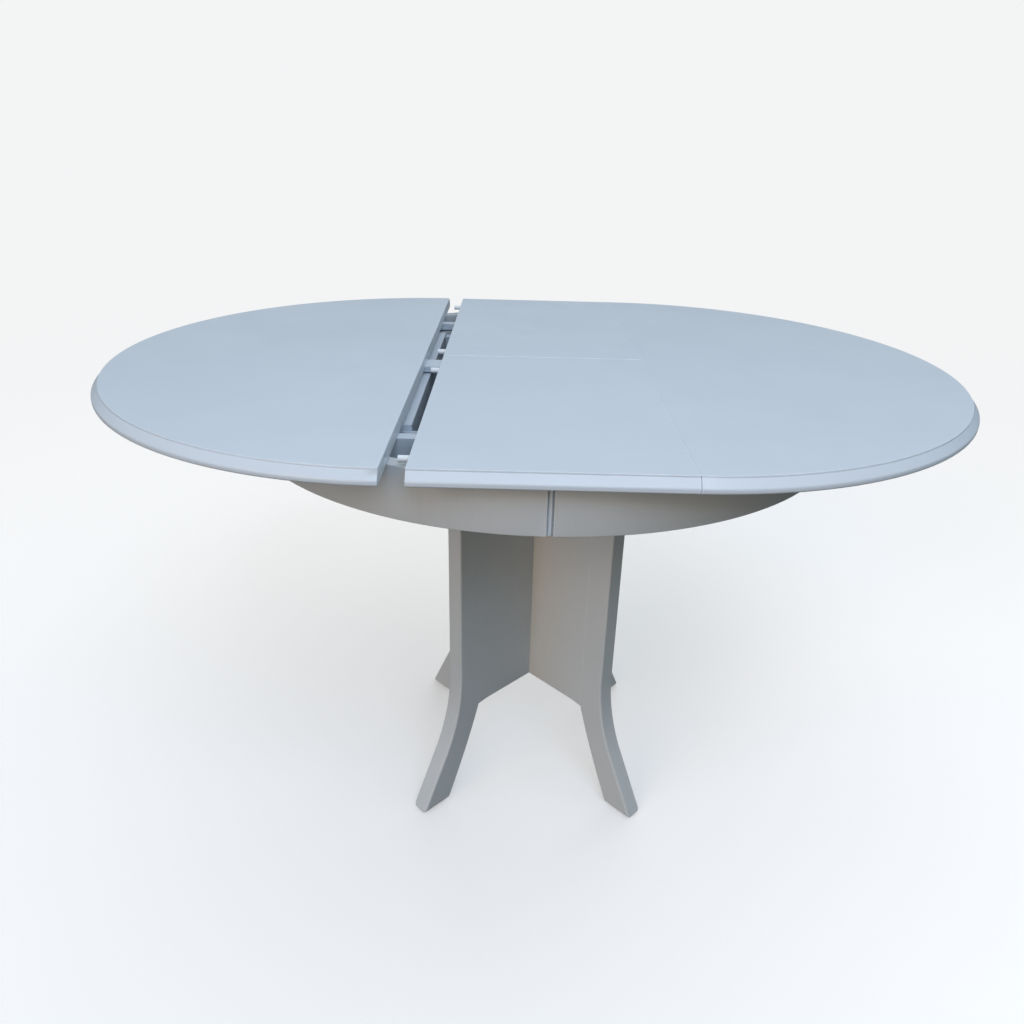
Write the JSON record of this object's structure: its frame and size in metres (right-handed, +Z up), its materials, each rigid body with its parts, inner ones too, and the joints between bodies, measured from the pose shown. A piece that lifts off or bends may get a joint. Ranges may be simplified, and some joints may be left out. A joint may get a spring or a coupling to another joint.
{
  "type": "extending pedestal table",
  "caption": "Extending pedestal table with half-round tops on ball slides, a folding butterfly leaf, a round apron around a storage well, and crossed boards on splayed legs.",
  "frame": {"origin": "on the floor, under the middle of the top as it stands, with the left half drawn out; the pedestal's axis is 11.3 mm from it along +X", "axes": "+X along the table's length from the left half to the right half, +Y from the front to the rear, +Z up"},
  "size_m": [1.2566, 0.927, 0.75],
  "materials": {
    "painted_top": "pale blue-grey satin paint on board",
    "painted_base": "pale blue-grey satin paint on wood",
    "painted_frame": "pale blue-grey paint on wood, inside the apron",
    "bare_wood": "bare sanded wood",
    "dowel_wood": "painted dowel",
    "brass": "plain brass",
    "slide_steel": "zinc-plated",
    "ball_steel": "greased, bright",
    "screw_steel": "zinc-plated",
    "glide_plastic": "moulded nylon"
  },
  "bodies": {
    "base": {"apron_left": "painted_base", "apron_right": "painted_base", "pedestal_cap": "painted_base", "panel_long": "painted_base", "panel_short_front": "painted_base", "panel_short_rear": "painted_base", "leg_front_left": "painted_base", "leg_front_right": "painted_base", "leg_rear_left": "painted_base", "leg_rear_right": "painted_base", "joint_strip_front": "painted_frame", "joint_strip_rear": "painted_frame", "guide_rail_front": "painted_frame", "guide_rail_rear": "painted_frame", "inner_rail_front": "painted_frame", "inner_rail_rear": "painted_frame", "cross_board_left": "painted_frame", "cross_board_right": "painted_frame", "well_floor": "painted_frame", "joint_block_front": "bare_wood", "joint_block_rear": "bare_wood", "leg_dowels": "bare_wood", "slide_channel_left_front": "slide_steel", "slide_channel_left_rear": "slide_steel", "slide_channel_right_front": "slide_steel", "slide_channel_right_rear": "slide_steel", "channel_screws": "screw_steel", "frame_screws": "screw_steel", "cap_screws": "screw_steel", "pedestal_screws": "screw_steel", "foot_glides": "glide_plastic"},
    "left_half": {"top_half_left": "painted_top", "centre_tongue": "painted_frame", "tongue_screws": "screw_steel", "slide_bar_left_front": "slide_steel", "slide_bar_left_rear": "slide_steel", "slide_bracket_left_front": "slide_steel", "slide_bracket_left_rear": "slide_steel", "bracket_screws_left": "screw_steel", "bracket_rivets_left": "screw_steel"},
    "right_half": {"top_half_right": "painted_top", "right_half_dowels": "dowel_wood", "slide_bar_right_front": "slide_steel", "slide_bar_right_rear": "slide_steel", "slide_bracket_right_front": "slide_steel", "slide_bracket_right_rear": "slide_steel", "bracket_screws_right": "screw_steel", "bracket_rivets_right": "screw_steel"},
    "left_cages": {"ball_cage_left_front": "ball_steel", "ball_cage_left_rear": "ball_steel"},
    "right_cages": {"ball_cage_right_front": "ball_steel", "ball_cage_right_rear": "ball_steel"},
    "leaf_front": {"leaf_flap_front": "painted_top", "leaf_dowels_front": "dowel_wood", "hinge_barrels_front": "brass"},
    "leaf_rear": {"leaf_flap_rear": "painted_top", "leaf_dowels_rear": "dowel_wood", "hinge_barrels_rear": "brass"}
  },
  "joints": [
    {"name": "left_half_slide", "type": "slide", "parent": "base", "child": "left_half", "axis": [1, 0, 0], "range_m": [-0.022, 0.0274]},
    {"name": "right_half_slide", "type": "slide", "parent": "base", "child": "right_half", "axis": [1, 0, 0], "range_m": [0, 0.05]},
    {"name": "left_cage_slide", "type": "slide", "parent": "base", "child": "left_cages", "axis": [1, 0, 0], "range_m": [-0.0112, 0.0138]},
    {"name": "right_cage_slide", "type": "slide", "parent": "base", "child": "right_cages", "axis": [1, 0, 0], "range_m": [-0.0002, 0.0252]},
    {"name": "leaf_lift", "type": "slide", "parent": "base", "child": "leaf_front", "axis": [0, 0, 1], "range_m": [0, 0.12]},
    {"name": "leaf_fold", "type": "hinge", "parent": "leaf_front", "child": "leaf_rear", "pos_m": [0.01372, 0, 0.7503], "axis": [1, 0, 0], "range_deg": [0, 180]}
  ],
  "couplings": [
    {"joint": "left_cage_slide", "follows": "left_half_slide", "ratio": 0.5},
    {"joint": "right_cage_slide", "follows": "right_half_slide", "ratio": 0.5}
  ]
}
